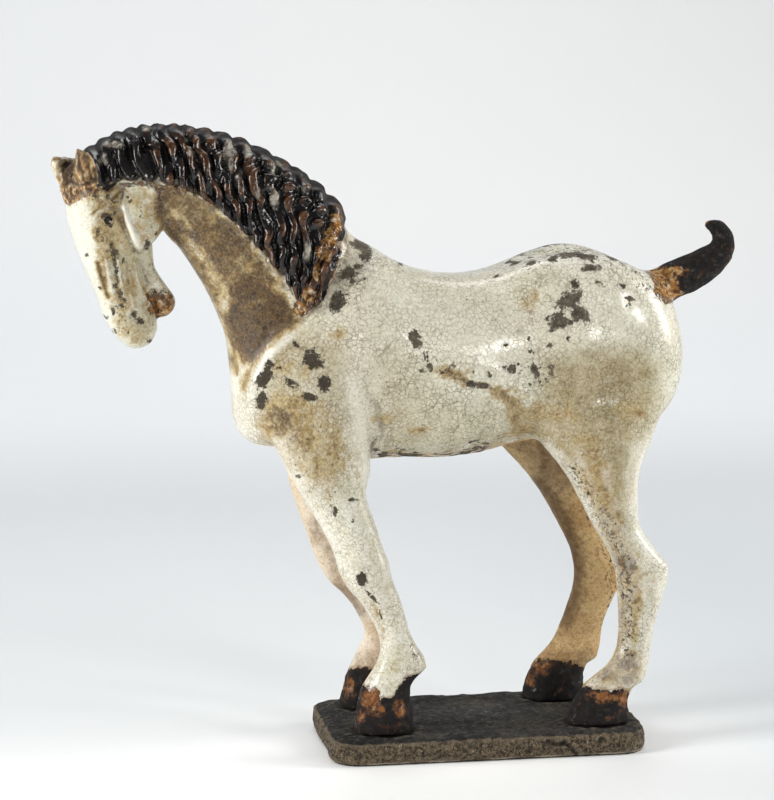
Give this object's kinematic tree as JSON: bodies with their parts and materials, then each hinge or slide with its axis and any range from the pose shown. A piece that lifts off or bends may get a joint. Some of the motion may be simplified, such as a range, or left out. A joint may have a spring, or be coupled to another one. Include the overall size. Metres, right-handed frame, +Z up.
{
  "type": "tomb horse figure",
  "caption": "Glazed earthenware tomb horse standing on a low rounded slab, head tucked in, combed mane in dark locks, docked tail curled up.",
  "frame": {"origin": "centre of the slab's underside", "axes": "+Z up, -X the way the horse faces, -Y its left side"},
  "size_m": [0.4057, 0.1062, 0.3731],
  "materials": {
    "glaze": "crackled glossy cream glaze over buff earthenware, dark brown glaze on mane, tail and hooves",
    "bare_clay": "matte, rough and earth-stained"
  },
  "bodies": {
    "root": {"horse": "glaze", "slab": "bare_clay"}
  },
  "joints": []
}
